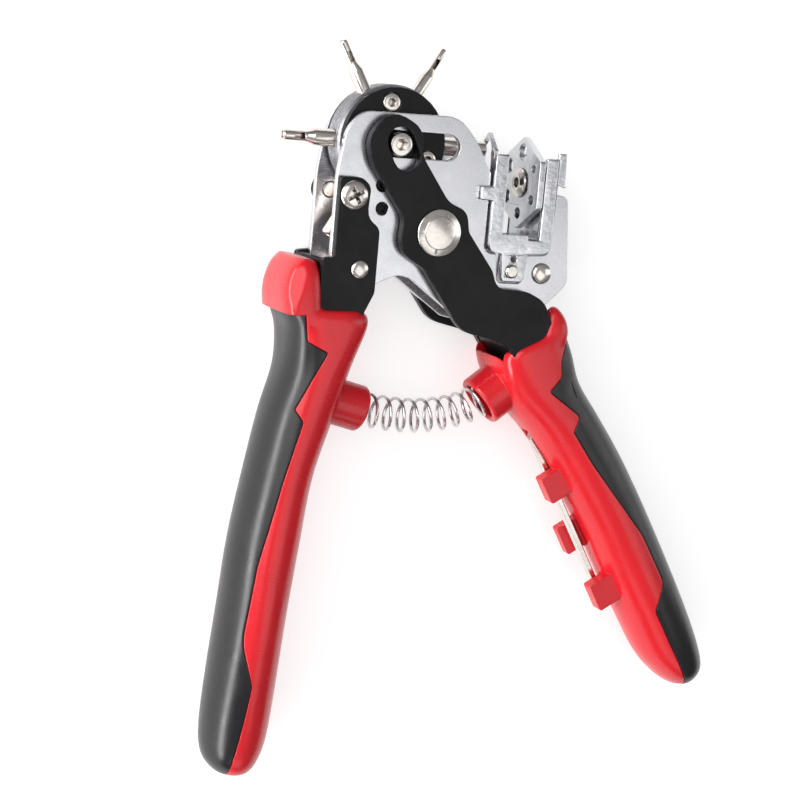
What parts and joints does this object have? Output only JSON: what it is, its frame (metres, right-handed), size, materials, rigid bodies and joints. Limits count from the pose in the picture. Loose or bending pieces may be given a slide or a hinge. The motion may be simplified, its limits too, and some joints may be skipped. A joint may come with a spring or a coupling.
{
  "type": "rotary hole punch",
  "caption": "Plier-type punch: squeezing the spring-loaded lever slides a turning turret of cutting tubes against a turning die wheel.",
  "frame": {"origin": "centre of the bounding box's underside", "axes": "the tool lies on its back: +X towards its right-hand grip, +Y from the grips to the jaw, +Z out of its front face"},
  "size_m": [0.1622, 0.2074, 0.0266],
  "materials": {
    "bright_chrome": "satin chrome plating on pressed steel",
    "cast_chrome": "chrome plating over a slightly uneven cast surface",
    "nickel": "bright nickel plating on turned steel",
    "black_steel": "satin black coating on pressed steel",
    "grey_steel": "turned grey steel with fine ring marks",
    "red_plastic": "semi-gloss moulded red plastic",
    "black_rubber": "smooth soft-touch black overmould",
    "spring_steel": "bright drawn wire"
  },
  "bodies": {
    "frame": {"front_side_plate": "bright_chrome", "back_side_plate": "bright_chrome", "fixed_arm": "black_steel", "arm_rivet": "nickel", "frame_rivet": "nickel", "front_pivot_stud": "nickel", "back_pivot_stud": "nickel", "front_arm_screw": "nickel", "back_arm_screw": "nickel", "front_upper_stop_pin": "black_steel", "back_upper_stop_pin": "black_steel", "front_lower_stop_pin": "black_steel", "back_lower_stop_pin": "black_steel", "left_plate_spacer": "nickel", "right_plate_spacer": "nickel", "die_bracket": "cast_chrome", "front_bracket_screw": "nickel", "back_bracket_screw": "nickel", "stripper_plate": "cast_chrome", "die_wheel_axle": "nickel", "left_grip_core": "red_plastic", "left_grip_overmould": "black_rubber", "return_spring": "spring_steel"},
    "lever": {"front_lever_arm": "black_steel", "back_lever_arm": "black_steel", "arm_spacer": "nickel", "lever_web": "black_steel", "right_grip_core": "red_plastic", "right_grip_overmould": "black_rubber"},
    "slider": {"front_slide_shoe": "black_steel", "back_slide_shoe": "black_steel", "slider_axle": "nickel", "slider_nut": "nickel"},
    "turret": {"turret_drum": "grey_steel", "front_cheek": "black_steel", "back_cheek": "black_steel", "cheek_screw_1": "nickel", "cheek_screw_2": "nickel", "cheek_screw_3": "nickel", "punch_tube_2_0": "nickel", "punch_tube_2_5": "nickel", "punch_tube_3_0": "nickel", "punch_tube_3_5": "nickel", "punch_tube_4_0": "nickel", "punch_tube_4_5": "nickel"},
    "die_wheel": {"die_wheel": "cast_chrome"},
    "hex_key": {"hex_key": "nickel"}
  },
  "joints": [
    {"name": "lever_pivot", "type": "hinge", "parent": "frame", "child": "lever", "pos_m": [-0.02685, 0.05341, 0.0133], "axis": [0, 0, -1], "range_deg": [0, 26.4], "stiffness_Nm_per_rad": 0.5, "springref_deg": -20.05, "deforming": ["return_spring"]},
    {"name": "turret_slide", "type": "slide", "parent": "frame", "child": "slider", "axis": [1, 0, 0], "range_m": [0, 0.0119]},
    {"name": "turret_turn", "type": "hinge", "parent": "slider", "child": "turret", "pos_m": [-0.03985, 0.07671, 0.0133], "axis": [0, 0, 1], "continuous": true},
    {"name": "die_wheel_turn", "type": "hinge", "parent": "frame", "child": "die_wheel", "pos_m": [0.00385, 0.06801, 0.0133], "axis": [1, 0, 0], "continuous": true},
    {"name": "hex_key_slide", "type": "slide", "parent": "lever", "child": "hex_key", "axis": [-0.8589, -0.5122, 0], "range_m": [0, 0.016]}
  ],
  "couplings": [
    {"joint": "turret_slide", "follows": "lever_pivot", "m_per_rad": 0.02577}
  ]
}
